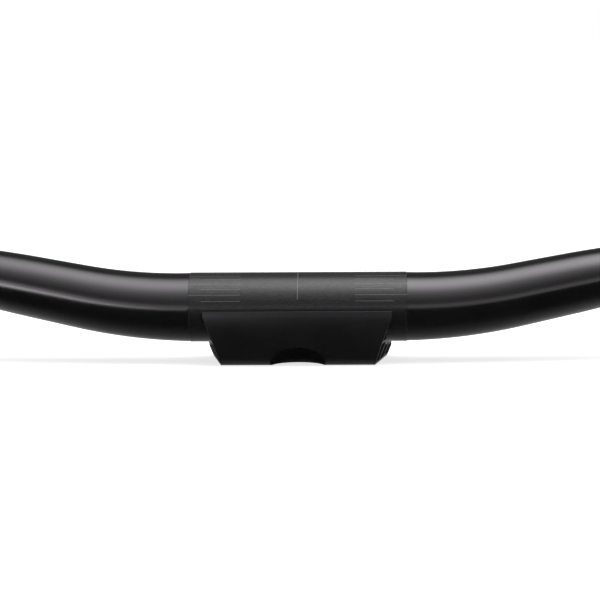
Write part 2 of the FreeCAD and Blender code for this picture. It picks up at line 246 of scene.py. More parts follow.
class Nodes:
    """A node tree with short ways to add nodes and join their sockets."""

    def __init__(self, tree: bpy.types.NodeTree) -> None:
        """Takes a tree and empties it."""
        self.tree = tree
        tree.nodes.clear()

    def add(self, kind: str, **values: object) -> bpy.types.Node:
        """Adds a node.

        Args:
            kind: The node's type.
            **values: Attributes of the node, and under inputs the values of its sockets.

        Returns:
            The node.
        """
        node = self.tree.nodes.new(kind)
        inputs = values.pop("inputs", {})
        for key, value in values.items():
            setattr(node, key, value)
        for key, value in inputs.items():
            node.inputs[key].default_value = value
        return node

    def feed(self, socket: bpy.types.NodeSocket, term: object) -> None:
        """Gives a socket another node's output, or a value.

        Args:
            socket: The socket.
            term: The output or the value.
        """
        if isinstance(term, bpy.types.NodeSocket):
            self.tree.links.new(term, socket)
        else:
            socket.default_value = term

    def math(self, operation: str, *terms: object) -> bpy.types.NodeSocket:
        """Adds a sum on values and outputs of other nodes.

        Args:
            operation: The math node's operation.
            *terms: Its inputs.

        Returns:
            The result.
        """
        node = self.add("ShaderNodeMath", operation=operation)
        for socket, term in zip(node.inputs, terms):
            self.feed(socket, term)
        return node.outputs[0]

    def fade(self, measure: bpy.types.NodeSocket, change: Fade) -> bpy.types.NodeSocket:
        """Works out the level that a fade gives.

        Args:
            measure: What the level depends on.
            change: The fade.

        Returns:
            The level.
        """
        node = self.add("ShaderNodeMapRange", interpolation_type="SMOOTHSTEP")
        self.feed(node.inputs["Value"], measure)
        self.feed(node.inputs["From Min"], change.start)
        self.feed(node.inputs["From Max"], change.end)
        self.feed(node.inputs["To Min"], change.first)
        self.feed(node.inputs["To Max"], change.last)
        return node.outputs["Result"]

    def patch(self, first: tuple, second: tuple) -> bpy.types.NodeSocket:
        """Multiplies two fades, each given with its measure."""
        return self.math("MULTIPLY", self.fade(*first), self.fade(*second))

    def ramp(self, share: object, stops: list[tuple[float, Colour]]) -> bpy.types.NodeSocket:
        """Adds a colour ramp.

        Args:
            share: What decides on the colour.
            stops: Positions from 0 to 1, with their colours.

        Returns:
            The colour.
        """
        node = self.add("ShaderNodeValToRGB")
        elements = node.color_ramp.elements
        while len(elements) < len(stops):
            elements.new(1.0)
        for element, (position, colour) in zip(elements, stops):
            element.position = position
            element.color = colour
        self.feed(node.inputs["Fac"], share)
        return node.outputs["Color"]

    def place(self) -> list[bpy.types.NodeSocket]:
        """The X, Y and Z of a point in its object's own frame.

        Returns:
            The three outputs.
        """
        node = self.add("ShaderNodeSeparateXYZ")
        self.feed(node.inputs[0], self.add("ShaderNodeTexCoord").outputs["Object"])
        return list(node.outputs)


class Pattern(Enum):
    """Which part of the grain decides on a finish's shade and gloss."""

    FINE = "Grain"
    SLOW = "Cloud"


@dataclass(frozen=True)
class Grain:
    """The shared effect, a node group: a fine grain and a slow change over it."""

    name: str = "fine_grain"
    fine_detail: float = 2.0
    slow_detail: float = 3.0

    def group(self) -> bpy.types.NodeTree:
        """Makes the group, or finds it.

        Returns:
            A group with Grain Size and Cloud Size in, and Grain and Cloud out.
        """
        if self.name in bpy.data.node_groups:
            return bpy.data.node_groups[self.name]
        tree = bpy.data.node_groups.new(self.name, "ShaderNodeTree")
        nodes = Nodes(tree)
        for pattern in Pattern:
            label = pattern.value
            tree.interface.new_socket(f"{label} Size", in_out="INPUT", socket_type="NodeSocketFloat")
            tree.interface.new_socket(label, in_out="OUTPUT", socket_type="NodeSocketFloat")
        given, made = nodes.add("NodeGroupInput"), nodes.add("NodeGroupOutput")
        place = nodes.add("ShaderNodeTexCoord").outputs["Object"]
        details = {Pattern.FINE: self.fine_detail, Pattern.SLOW: self.slow_detail}
        for pattern, detail in details.items():
            label = pattern.value
            noise = nodes.add("ShaderNodeTexNoise", inputs={"Detail": detail})
            nodes.feed(noise.inputs["Vector"], place)
            nodes.feed(noise.inputs["Scale"], nodes.math("DIVIDE", 1.0, given.outputs[f"{label} Size"]))
            nodes.feed(made.inputs[label], noise.outputs["Fac"])
        return tree

    def put(self, nodes: Nodes, grain: float, cloud: float) -> bpy.types.Node:
        """Puts the group into a material, with the sizes of its fine grain and slow change."""
        sizes = {"Grain Size": grain, "Cloud Size": cloud}
        return nodes.add("ShaderNodeGroup", node_tree=self.group(), inputs=sizes)


@dataclass(frozen=True)
class Finish:
    """A surface with two close shades of one colour, and a grain that its gloss follows.

    The pattern decides on the shade from dark to pale, on the roughness within a spread of its middle,
    and on the weight of a clear coat, if there is one, within a speckle of its middle. All of that
    changes between the pattern's low and high share. Grain and cloud are the sizes of the fine grain
    and the slow change, bump is the grain's depth, index the refractive index, and tint the colour of
    the gloss where it is seen straight on.
    """

    name: str
    dark: Colour
    pale: Colour
    pattern: Pattern
    roughness: float
    spread: float
    index: float
    grain: float
    cloud: float
    bump: float
    tint: Colour = (1.0, 0.957, 1.0, 1.0)
    coat: float = 0.0
    speckle: float = 0.0
    coat_roughness: float = 0.14
    coat_index: float = 1.42
    low_share: float = 0.3
    high_share: float = 0.7

    def around(self, middle: float, spread: float) -> Fade:
        """A fade over the pattern that goes evenly to both sides of a middle."""
        return Fade(self.low_share, self.high_share, middle * (1 - spread), middle * (1 + spread))

    def material(self) -> bpy.types.Material:
        """Makes the finish's material.

        Returns:
            The material.
        """
        material = bpy.data.materials.new(self.name)
        material.use_nodes = True
        nodes = Nodes(material.node_tree)
        gloss = {
            "IOR": self.index,
            "Specular Tint": self.tint,
            "Coat Roughness": self.coat_roughness,
            "Coat IOR": self.coat_index,
        }
        shader = nodes.add("ShaderNodeBsdfPrincipled", inputs=gloss)
        output = nodes.add("ShaderNodeOutputMaterial")
        nodes.feed(output.inputs["Surface"], shader.outputs["BSDF"])
        effect = Grain().put(nodes, self.grain, self.cloud)
        share = effect.outputs[self.pattern.value]
        shades = [(self.low_share, self.dark), (self.high_share, self.pale)]
        nodes.feed(shader.inputs["Base Color"], nodes.ramp(share, shades))
        roughness = nodes.fade(share, self.around(self.roughness, self.spread))
        nodes.feed(shader.inputs["Roughness"], roughness)
        if self.coat:
            weight = nodes.fade(share, self.around(self.coat, self.speckle))
            nodes.feed(shader.inputs["Coat Weight"], weight)
        bump = nodes.add("ShaderNodeBump", inputs={"Distance": self.bump})
        nodes.feed(bump.inputs["Height"], effect.outputs[Pattern.FINE.value])
        nodes.feed(shader.inputs["Normal"], bump.outputs["Normal"])
        return material


BAR_FINISH = Finish(
    name="satin_black_bar",
    dark=grey(0.0055),
    pale=grey(0.0075),
    pattern=Pattern.SLOW,
    roughness=0.175,
    spread=0.05,
    index=1.77,
    grain=0.6 * MM,
    cloud=25 * MM,
    bump=0.002 * MM,
)
ZONE_FINISH = Finish(
    name="blasted_clamp_zone",
    dark=grey(0.004),
    pale=grey(0.015),
    pattern=Pattern.FINE,
    roughness=0.46,
    spread=0.12,
    index=1.44,
    grain=0.9 * MM,
    cloud=12 * MM,
    bump=0.045 * MM,
    coat=0.75,
    speckle=0.33,
)
LINE_FINISH = Finish(
    name="etched_lines",
    dark=grey(0.11),
    pale=grey(0.13),
    pattern=Pattern.SLOW,
    roughness=0.3,
    spread=0.1,
    index=1.52,
    grain=0.4 * MM,
    cloud=6 * MM,
    bump=0.005 * MM,
)
CRADLE_FINISH = Finish(
    name="black_moulded_plastic",
    dark=(0.0080, 0.0080, 0.0094, 1.0),
    pale=(0.0105, 0.0105, 0.0123, 1.0),
    pattern=Pattern.SLOW,
    roughness=0.38,
    spread=0.08,
    index=1.5,
    grain=0.5 * MM,
    cloud=18 * MM,
    bump=0.012 * MM,
    tint=(0.96, 0.96, 1.0, 1.0),
)


# Line of the bar


@dataclass
class Straight:
    """A straight run of the bar's line."""

    start: Vector
    heading: Vector
    length: float

    def point_at(self, along: float) -> Vector:
        """The point at a distance along the run."""
        return self.start + self.heading * along

    def carry(self, before: float, after: float) -> None:
        """Extrudes the selected ring from one distance along the run to another."""
        extrude(self.heading * (after - before))


@dataclass
class Bend:
    """A tangent arc of the bar's line, from one heading to another."""

    start: Vector
    heading: Vector
    turned: Vector
    radius: float

    def __post_init__(self) -> None:
        """Works out the arc's axis, centre and length."""
        self.axis = self.heading.cross(self.turned).normalized()
        self.centre = self.start + self.axis.cross(self.heading) * self.radius
        self.length = self.radius * self.heading.angle(self.turned)

    def point_at(self, along: float) -> Vector:
        """The point at a distance along the bend."""
        turn = Matrix.Rotation(along / self.radius, 3, self.axis)
        return self.centre + turn @ (self.start - self.centre)

    def carry(self, before: float, after: float) -> None:
        """Spins the selected ring from one distance along the bend to another."""
        angle = (before - after) / self.radius
        bpy.ops.mesh.spin(steps=1, angle=angle, center=self.centre, axis=self.axis)


Span = Straight | Bend


def heading_of(rise: float, sweep: float) -> Vector:
    """The unit direction that rises and sweeps to the rear by two angles in degrees."""
    up, back = math.radians(rise), math.radians(sweep)
    return Vector((math.cos(up) * math.cos(back), math.cos(up) * math.sin(back), math.sin(up)))


def stations(span: Span, step: float) -> list[float]:
    """Even distances along a span from its start to its end, about a step apart."""
    count = max(1, round(span.length / step))
    return [span.length * number / count for number in range(count + 1)]


# Handlebar


@dataclass
class Handlebar:
    """The bent, tapered tube, from grip end to grip end."""

    clamp_radius: float = mount_size("clamp_zone", "r_mm")
    clamp_length: float = mount_size("clamp_zone", "length_mm")
    grip_radius: float = mount_size("right_grip_seat", "r_mm")
    bore_end_radius: float = mount_size("right_bar_end", "r_mm")
    grip_length: float = mount_size("right_bar_end", "length_mm")
    shoulder_radius: float = 17.3 * MM
    riser_radius: float = 15.4 * MM
    clamp_wall: float = 2.2 * MM
    first_bend_radius: float = 270 * MM
    riser_rise: float = 11.1
    riser_sweep: float = 4.0
    riser_length: float = 56 * MM
    second_bend_radius: float = 200 * MM
    upsweep: float = 5.0
    backsweep: float = 8.0
    taper_run_out: float = 34 * MM
    zone_edge: float = 0.15 * MM
    end_round: float = 0.5 * MM
    segments: int = 128
    bend_step: float = 2.5 * MM
    bore_step: float = 5 * MM
    straight_step: float = 15 * MM
    lip_steps: int = 4
    smooth_angle: float = 35.0

    def __post_init__(self) -> None:
        """Lays the right half of the bar's line."""
        riser = heading_of(self.riser_rise, self.riser_sweep)
        grip = heading_of(self.upsweep, self.backsweep)
        zone = Straight(Vector(), RIGHT, self.clamp_length / 2)
        first = Bend(zone.point_at(zone.length), RIGHT, riser, self.first_bend_radius)
        rise = Straight(first.point_at(first.length), riser, self.riser_length)
        second = Bend(rise.point_at(rise.length), riser, grip, self.second_bend_radius)
        run_out = Straight(second.point_at(second.length), grip, self.taper_run_out)
        self.zone = zone
        self.tapered = [first, rise, second, run_out]
        self.seat = Straight(run_out.point_at(run_out.length), grip, self.grip_length)
        self.riser_middle = zone.length + first.length + rise.length / 2
        self.grip_start = zone.length + sum(span.length for span in self.tapered)
        self.ring_radius = self.clamp_radius

    def outer_radius(self, distance: float) -> float:
        """The outside: an even taper to the middle of the riser, then a smooth run down to the grip.

        Args:
            distance: Length along the bar from its middle, past the clamp zone.

        Returns:
            The radius there.
        """
        begun = self.zone.length
        slope = (self.riser_radius - self.shoulder_radius) / (self.riser_middle - begun)
        if distance <= self.riser_middle:
            return self.shoulder_radius + slope * (distance - begun)
        run = self.grip_start - self.riser_middle
        share = min((distance - self.riser_middle) / run, 1.0)
        fall = (self.grip_radius - self.riser_radius) * (3 - 2 * share) * share**2
        return self.riser_radius + fall + slope * run * share * (1 - share) ** 2

    def bore_radius(self, distance: float) -> float:
        """The inside: the wall thins evenly from the clamp zone to the grip.

        Args:
            distance: Length along the bar from its middle, past the clamp zone.

        Returns:
            The radius there.
        """
        share = min((distance - self.zone.length) / (self.grip_start - self.zone.length), 1.0)
        grip_wall = self.grip_radius - self.bore_end_radius
        wall = self.clamp_wall + (grip_wall - self.clamp_wall) * share
        return self.outer_radius(distance) - wall

    def build(self) -> bpy.types.Object:
        """Extrudes a ring along the bar's line to its end and back through the bore, and mirrors it.

        Returns:
            The whole tube.
        """
        deselect_all()
        across_bar = (0.0, math.pi / 2, 0.0)
        bpy.ops.mesh.primitive_circle_add(
            vertices=self.segments, radius=self.clamp_radius, rotation=across_bar
        )
        tube = settle("riser_handlebar")
        edit(tube)
        self.walk_outside()
        self.walk_lip()
        self.walk_bore()
        leave_edit()
        mirror(tube)
        smooth(tube, self.smooth_angle)
        return tube

    def resize_ring(self, middle: Vector, radius: float) -> None:
        """Scales the selected ring about its middle.

        Args:
            middle: The ring's middle.
            radius: The radius that it gets.
        """
        share = radius / self.ring_radius
        bpy.ops.transform.resize(value=(share, share, share), center_override=middle)
        self.ring_radius = radius

    def walk_outside(self) -> None:
        """Takes the ring from the middle of the bar to where its end is rounded."""
        zone = self.zone
        edge = zone.length - self.zone_edge
        zone.carry(0.0, edge)
        zone.carry(edge, zone.length)
        self.resize_ring(zone.point_at(zone.length), self.shoulder_radius)
        begun = zone.length
        for span in self.tapered:
            for before, after in pairwise(stations(span, self.bend_step)):
                span.carry(before, after)
                self.resize_ring(span.point_at(after), self.outer_radius(begun + after))
            begun += span.length
        seat = Straight(self.seat.start, self.seat.heading, self.seat.length - self.end_round)
        for before, after in pairwise(stations(seat, self.straight_step)):
            seat.carry(before, after)

    def walk_lip(self) -> None:
        """Rounds the outer edge of the bar's end and goes across the end face to the bore."""
        seat = self.seat
        before = seat.length - self.end_round
        for number in range(1, self.lip_steps + 1):
            angle = math.pi / 2 * number / self.lip_steps
            after = seat.length - self.end_round * (1 - math.sin(angle))
            seat.carry(before, after)
            radius = self.grip_radius - self.end_round * (1 - math.cos(angle))
            self.resize_ring(seat.point_at(after), radius)
            before = after
        seat.carry(before, before)
        self.resize_ring(seat.point_at(before), self.bore_end_radius)

    def walk_bore(self) -> None:
        """Takes the ring back through the bore to the middle of the bar."""
        for before, after in pairwise(stations(self.seat, self.straight_step)[::-1]):
            self.seat.carry(before, after)
        begun = self.grip_start
        for span in reversed(self.tapered):
            begun -= span.length
            for before, after in pairwise(stations(span, self.bore_step)[::-1]):
                span.carry(before, after)
                self.resize_ring(span.point_at(after), self.bore_radius(begun + after))
        self.zone.carry(self.zone.length, 0.0)

    def dress(self, tube: bpy.types.Object) -> None:
        """Gives the tube the bar's finish, and the outside of its clamp zone another.

        Args:
            tube: The whole tube.
        """
        dress(tube, BAR_FINISH.material())
        tube.data.materials.append(ZONE_FINISH.material())
        for face in tube.data.polygons:
            across = math.hypot(face.center.y, face.center.z)
            in_zone = abs(face.center.x) < self.zone.length
            face.material_index = int(in_zone and across > self.shoulder_radius)


# Graduation of the clamp zone


@dataclass
class Graduation:
    """The fine lines on the clamp zone: a comb at each of its ends and one line round its middle."""

    clamp_radius: float = mount_size("clamp_zone", "r_mm")
    clamp_length: float = mount_size("clamp_zone", "length_mm")
    first_angle: float = 15.9
    pitch_angle: float = 10.5
    lines: int = 7
    comb_start: float = 28.6 * MM
    short_end: float = 48 * MM
    line_width: float = 0.34 * MM
    middle_width: float = 0.5 * MM
    line_depth: float = 0.12 * MM
    proud: float = 0.02 * MM
    middle_low: float = 19.0
    middle_high: float = 118.0
    middle_steps: int = 40

    def build(self) -> bpy.types.Object:
        """Models a short and a long line, turns copies of them into a comb, and mirrors the comb.

        Returns:
            The combs and the middle line as one piece of marking.
        """
        short_and_long = [self.comb_line(end) for end in (self.short_end, self.clamp_length / 2)]
        copies = []
        for number in range(self.lines):
            angle = self.first_angle + number * self.pitch_angle
            copies.append(self.turned_copy(short_and_long[number % 2], angle))
        for line in short_and_long:
            bpy.data.objects.remove(line)
        comb = join(copies, "comb")
        mirror(comb)
        return join([self.middle_line(), comb], "clamp_graduation")

    def comb_line(self, end: float) -> bpy.types.Object:
        """Models one line along the bar, at the front of the zone's right end.

        Args:
            end: How far from the middle it reaches.

        Returns:
            A thin slip, let into the zone's surface.
        """
        length = end - self.comb_start
        middle = (self.comb_start + length / 2, -self.clamp_radius - self.proud, 0.0)
        deselect_all()
        bpy.ops.mesh.primitive_plane_add(size=1.0, location=middle, rotation=(math.pi / 2, 0.0, 0.0))
        bpy.context.object.scale = (length, self.line_width, 1.0)
        slip = settle("comb_line")
        edit(slip)
        extrude((0.0, self.line_depth, 0.0))
        leave_edit()
        return slip

    def turned_copy(self, slip: bpy.types.Object, angle: float) -> bpy.types.Object:
        """Copies a line and turns the copy round the bar.

        Args:
            slip: The line at the front.
            angle: Degrees round the bar, up from the front.

        Returns:
            The copy.
        """
        select_only(slip)
        bpy.ops.object.duplicate()
        copy = bpy.context.object
        edit(copy)
        bpy.ops.transform.rotate(
            value=math.radians(angle), orient_axis="X", orient_type="GLOBAL", center_override=ORIGIN
        )
        leave_edit()
        return copy

    def middle_line(self) -> bpy.types.Object:
        """Models the line round the middle of the zone.

        Returns:
            A thin hoop, let into the zone's surface.
        """
        low, high = math.radians(self.middle_low), math.radians(self.middle_high)
        radius = self.clamp_radius + self.proud - self.line_depth / 2
        start = Vector((0.0, -math.cos(low) * radius, math.sin(low) * radius))
        deselect_all()
        bpy.ops.mesh.primitive_plane_add(size=1.0, location=start, rotation=(math.pi - low, 0.0, 0.0))
        bpy.context.object.scale = (self.middle_width, self.line_depth, 1.0)
        hoop = settle("middle_line")
        edit(hoop)
        bpy.ops.mesh.spin(steps=self.middle_steps, angle=high - low, center=ORIGIN, axis=RIGHT)
        leave_edit()
        return hoop

    def dress(self, marking: bpy.types.Object) -> None:
        """Gives the lines their finish."""
        dress(marking, LINE_FINISH.material())


# Cradle


class Loop:
    """A closed outline in a plane across the bar, drawn from point to point as (Y, Z)."""

    def __init__(self, along: float, start: Place) -> None:
        """Starts with a single point.

        Args:
            along: The plane's X.
            start: The first point.
        """
        self.along = along
        self.start = start
        self.at = start
        deselect_all()
        bpy.ops.mesh.primitive_plane_add(size=MM, location=(along, *start))
        self.piece = settle("loop")
        edit(self.piece)
        bpy.ops.mesh.merge(type="CENTER")

    def line(self, end: Place) -> None:
        """Goes straight to a point."""
        extrude((0.0, end[0] - self.at[0], end[1] - self.at[1]))
        self.at = end

    def arc(self, centre: Place, end: Place, steps: int, backwards: bool = False) -> None:
        """Goes round a centre to a point.

        Args:
            centre: The arc's centre.
            end: The point.
            steps: How many edges the arc gets.
            backwards: Whether it runs clockwise, seen from the right end of the bar.
        """
        first = math.atan2(self.at[1] - centre[1], self.at[0] - centre[0])
        last = math.atan2(end[1] - centre[1], end[0] - centre[0])
        turn = (first - last) % math.tau if backwards else -((last - first) % math.tau)
        bpy.ops.mesh.spin(steps=steps, angle=turn, center=(self.along, *centre), axis=RIGHT)
        self.at = end

    def solid(self, length: float, name: str) -> bpy.types.Object:
        """Fills the closed outline and extrudes it along the bar.

        Args:
            length: How far.
            name: The object's name.

        Returns:
            The solid.
        """
        bpy.ops.mesh.select_all(action="SELECT")
        bpy.ops.mesh.remove_doubles(threshold=MERGE)
        bpy.ops.mesh.edge_face_add()
        extrude((length, 0.0, 0.0))
        leave_edit()
        select_only(self.piece)
        piece = settle(name)
        close_skin(piece)
        return piece


@dataclass
class Cradle:
    """The moulded block under the clamp zone, with a half-round seat and leaning, cored-out ends."""

    width: float = 93.8 * MM
    front: float = 23.5 * MM
    back: float = 21 * MM
    rim: float = 0.3 * MM
    base: float = BASE
    bulge: float = 37 * MM
    bulge_drop: float = 5 * MM
    base_edge: float = 3 * MM
    rim_edge: float = 0.15 * MM
    front_mouth: float = 4.8 * MM
    rear_mouth: float = 1.5 * MM
    end_edge: float = 0.4 * MM
    clearance: float = 0.2 * MM
    end_cut_drop: float = 12.9 * MM
    end_lean: float = 21.4
    end_splay: float = 10.1
    wall: float = 1.4 * MM
    rib: float = 1.4 * MM
    rib_spacing: float = 13 * MM
    core: float = 34 * MM
    front_pocket_drop: float = 11 * MM
    front_web_drop: float = 15 * MM
    rear_pocket_drop: float = 20.5 * MM
    scoop_reach: float = 13.8 * MM
    scoop_depth: float = 13.4 * MM
    scoop_height: float = 8.9 * MM
    scoop_rise: float = 0.9 * MM
    scoop_setback: float = 5 * MM
    overrun: float = 10 * MM
    rim_steps: int = 5
    edge_steps: int = 6
    bulge_steps: int = 24
    seat_steps: int = 64
    end_edge_steps: int = 3
    upper_front_steps: int = 6
    upper_seat_steps: int = 8
    lower_front_steps: int = 10
    lower_seat_steps: int = 12
    middle_seat_steps: int = 10
    scoop_segments: int = 96
    scoop_rings: int = 48
    smooth_angle: float = 30.0

    def __post_init__(self) -> None:
        """Works out the seat and its wall, the bulge's axis and the floor of the pockets."""
        self.seat = mount_size("clamp_zone", "r_mm") + self.clearance
        self.bar_axis = (0.0, 0.0)
        self.bulge_axis = (self.bulge - self.front, -self.bulge_drop)
        self.floor = self.base + self.wall
        self.seat_wall = self.seat + self.wall

    def on_bulge(self, radius: float, height: float) -> Place:
        """The point at a height on a circle round the bulge's axis, on the front side."""
        rise = height - self.bulge_axis[1]
        return self.bulge_axis[0] - math.sqrt(radius**2 - rise**2), height

    def blend(self, centre: Place, radius: float) -> Place:
        """The point where the rounding of an edge runs into the bulge.

        Args:
            centre: The rounding's centre.
            radius: Its radius.

        Returns:
            The point.
        """
        reach = self.bulge / (self.bulge - radius)
        across, height = (axis + (at - axis) * reach for axis, at in zip(self.bulge_axis, centre))
        return across, height

    def under_bar(self, across: float) -> Place:
        """The point across the bar on the back of the seat's wall, on the lower side."""
        return across, -math.sqrt(self.seat_wall**2 - across**2)

    def beside_bar(self, height: float) -> Place:
        """The point at a height on the back of the seat's wall, on the front side."""
        return -math.sqrt(self.seat_wall**2 - height**2), height

    def mouth_middle(self, size: float) -> Place:
        """The middle of the rounding where the seat opens to the rim, at the back."""
        height = self.rim - size
        return math.sqrt((self.seat + size) ** 2 - height**2), height

    def on_seat(self, middle: Place) -> Place:
        """The point of the seat on the line from the bar's axis through another point."""
        share = self.seat / math.hypot(*middle)
        return middle[0] * share, middle[1] * share

    def build(self) -> bpy.types.Object:
        """Models the block, leans its ends, cores them out and takes the scoop from its front edge.

        Returns:
            The cradle.
        """
        block = self.section().solid(self.width, "moulded_cradle")
        for side in Side:
            self.lean_end(block, side)
        edge = {"width": self.end_edge, "segments": self.end_edge_steps, "limit_method": "ANGLE"}
        apply_modifier(block, "BEVEL", **edge)
        close_skin(block)
        carve(block, self.pockets())
        carve(block, self.scoop())
        close_skin(block)
        smooth(block, self.smooth_angle)
        return block

    def section(self) -> Loop:
        """Draws the block's section at its left end.

        Returns:
            The outline, back at its first point.
        """
        rim, base, back, edge, lip = self.rim, self.base, self.back, self.base_edge, self.rim_edge
        front_lip = self.on_bulge(self.bulge - lip, rim - lip)
        front_foot = self.on_bulge(self.bulge - edge, base + edge)
        rear_mouth = self.mouth_middle(self.rear_mouth)
        across, height = self.mouth_middle(self.front_mouth)
        front_mouth = (-across, height)
        loop = Loop(-self.width / 2, (front_lip[0], rim))
        loop.arc(front_lip, self.blend(front_lip, lip), self.rim_steps)
        loop.arc(self.bulge_axis, self.blend(front_foot, edge), self.bulge_steps)
        loop.arc(front_foot, (front_foot[0], base), self.edge_steps)
        loop.line((back - edge, base))
        loop.arc((back - edge, base + edge), (back, base + edge), self.edge_steps)
        loop.line((back, rim - lip))
        loop.arc((back - lip, rim - lip), (back - lip, rim), self.rim_steps)
        loop.line((rear_mouth[0], rim))
        loop.arc(rear_mouth, self.on_seat(rear_mouth), self.edge_steps)
        loop.arc(self.bar_axis, self.on_seat(front_mouth), self.seat_steps, backwards=True)
        loop.arc(front_mouth, (front_mouth[0], rim), self.edge_steps)
        loop.line(loop.start)
        return loop

    def lean_end(self, block: bpy.types.Object, side: Side) -> None:
        """Cuts one end of the block off along its leaning plane.

        Args:
            block: The block.
            side: Which end.
        """
        lean, splay = math.tan(math.radians(self.end_lean)), math.tan(math.radians(self.end_splay))
        normal = Vector((side.value, -splay, -lean)).normalized()
        through = Vector((side.value * self.width / 2, 0.0, -self.end_cut_drop))
        deselect_all()
        bpy.ops.mesh.primitive_cube_add(size=self.width, location=through + normal * self.width / 2)
        bpy.context.object.rotation_mode = "QUATERNION"
        bpy.context.object.rotation_quaternion = normal.to_track_quat("Z", "Y")
        carve(block, settle("end_cutter"))

    def scoop(self) -> bpy.types.Object:
        """Models what is scooped out of the lower front edge.

        Returns:
            The cutter.
        """
        middle = (0.0, self.scoop_setback - self.front, self.base + self.scoop_rise)
        deselect_all()
        bpy.ops.mesh.primitive_uv_sphere_add(
            segments=self.scoop_segments, ring_count=self.scoop_rings, radius=1.0, location=middle
        )
        bpy.context.object.scale = (self.scoop_reach, self.scoop_depth, self.scoop_height)
        return settle("scoop")

    def pockets(self) -> bpy.types.Object:
        """Models what is cored out of both ends.

        Returns:
            The eight cutters as one object.
        """
        length = self.width / 2 + self.overrun - self.core / 2
        loops = (self.upper_pocket, self.lower_pocket, self.middle_pocket, self.rear_pocket)
        parts = []
        for along in (self.core / 2, -self.core / 2 - length):
            parts += [loop(along).solid(length, "pocket") for loop in loops]
        return join(parts, "pockets")

    def upper_pocket(self, along: float) -> Loop:
        """Draws the pocket between front and seat, above the web.

        Args:
            along: The outline's X.

        Returns:
            The outline.
        """
        inside = self.bulge - self.wall
        top, web = -self.front_pocket_drop, -self.front_web_drop
        loop = Loop(along, self.on_bulge(inside, top))
        loop.arc(self.bulge_axis, self.on_bulge(inside, web), self.upper_front_steps)
        loop.line(self.beside_bar(web))
        loop.arc(self.bar_axis, self.beside_bar(top), self.upper_seat_steps, backwards=True)
        loop.line(loop.start)
        return loop

    def lower_pocket(self, along: float) -> Loop:
        """Draws the pocket between front and seat, below the web.

        Args:
            along: The outline's X.

        Returns:
            The outline.
        """
        inside = self.bulge - self.wall
        below = -self.front_web_drop - self.rib
        rib = -(self.rib_spacing + self.rib) / 2
        loop = Loop(along, self.on_bulge(inside, below))
        loop.arc(self.bulge_axis, self.on_bulge(inside, self.floor), self.lower_front_steps)
        loop.line((rib, self.floor))
        loop.line(self.under_bar(rib))
        loop.arc(self.bar_axis, self.beside_bar(below), self.lower_seat_steps, backwards=True)
        loop.line(loop.start)
        return loop

    def middle_pocket(self, along: float) -> Loop:
        """Draws the pocket under the bar, between the two ribs.

        Args:
            along: The outline's X.

        Returns:
            The outline.
        """
        rib = (self.rib_spacing - self.rib) / 2
        loop = Loop(along, (-rib, self.floor))
        loop.line((rib, self.floor))
        loop.line(self.under_bar(rib))
        loop.arc(self.bar_axis, self.under_bar(-rib), self.middle_seat_steps, backwards=True)
        loop.line(loop.start)
        return loop

    def rear_pocket(self, along: float) -> Loop:
        """Draws the pocket along the back.

        Args:
            along: The outline's X.

        Returns:
            The outline.
        """
        rib = (self.rib_spacing + self.rib) / 2
        wall, top = self.back - self.wall, -self.rear_pocket_drop
        loop = Loop(along, (rib, self.floor))
        for end in ((wall, self.floor), (wall, top), (rib, top), loop.start):
            loop.line(end)
        return loop

    def dress(self, block: bpy.types.Object) -> None:
        """Gives the cradle its finish."""
        dress(block, CRADLE_FINISH.material())


# Studio


def background_rays(nodes: Nodes) -> bpy.types.NodeSocket:
    """Masks the rays that see the background: camera, glossy and transmission rays.

    Args:
        nodes: The material's nodes.

    Returns:
        The mask.
    """
    path = nodes.add("ShaderNodeLightPath").outputs
    seen = nodes.math("MAXIMUM", path["Is Camera Ray"], path["Is Glossy Ray"])
    return nodes.math("MAXIMUM", seen, path["Is Transmission Ray"])


def stage_nodes(piece: bpy.types.Object) -> tuple[Nodes, bpy.types.Node, bpy.types.Node]:
    """Gives a stage piece a glowing material.

    Args:
        piece: The object.

    Returns:
        The material's nodes, its glow and its output.
    """
    material = bpy.data.materials.new(piece.name)
    material.use_nodes = True
    nodes = Nodes(material.node_tree)
    glow, output = nodes.add("ShaderNodeEmission"), nodes.add("ShaderNodeOutputMaterial")
    nodes.feed(output.inputs["Surface"], glow.outputs["Emission"])
    dress(piece, material)
    return nodes, glow, output


def reflect_only(card: bpy.types.Object) -> None:
    """Lets a stage piece show in reflections and nowhere else."""
    for ray in ("camera", "diffuse", "shadow", "transmission", "volume_scatter"):
        setattr(card, f"visible_{ray}", False)


@dataclass
class Floor:
    """A wide pale floor, white to the camera where nothing shades it."""

    height: float = BASE
    size: float = 60.0
    tone: float = 0.82
    glow: Fade = Fade(0.5, 1.6, 0.74, 1.0)

    def build(self) -> None:
        """Makes the floor, with a glow that grows with the distance from the part."""
        deselect_all()
        bpy.ops.mesh.primitive_plane_add(size=self.size, location=(0.0, 0.0, self.height))
        nodes, glow, output = stage_nodes(settle("floor"))
        across, back, _ = nodes.place()
        squares = nodes.math("ADD", nodes.math("POWER", across, 2.0), nodes.math("POWER", back, 2.0))
        level = nodes.fade(nodes.math("SQRT", squares), self.glow)
        nodes.feed(glow.inputs["Strength"], nodes.math("MULTIPLY", background_rays(nodes), level))
        matt = nodes.add("ShaderNodeBsdfDiffuse", inputs={"Color": grey(self.tone)})
        both = nodes.add("ShaderNodeAddShader")
        nodes.feed(both.inputs[0], matt.outputs["BSDF"])
        nodes.feed(both.inputs[1], glow.outputs["Emission"])
        nodes.feed(output.inputs["Surface"], both.outputs["Shader"])


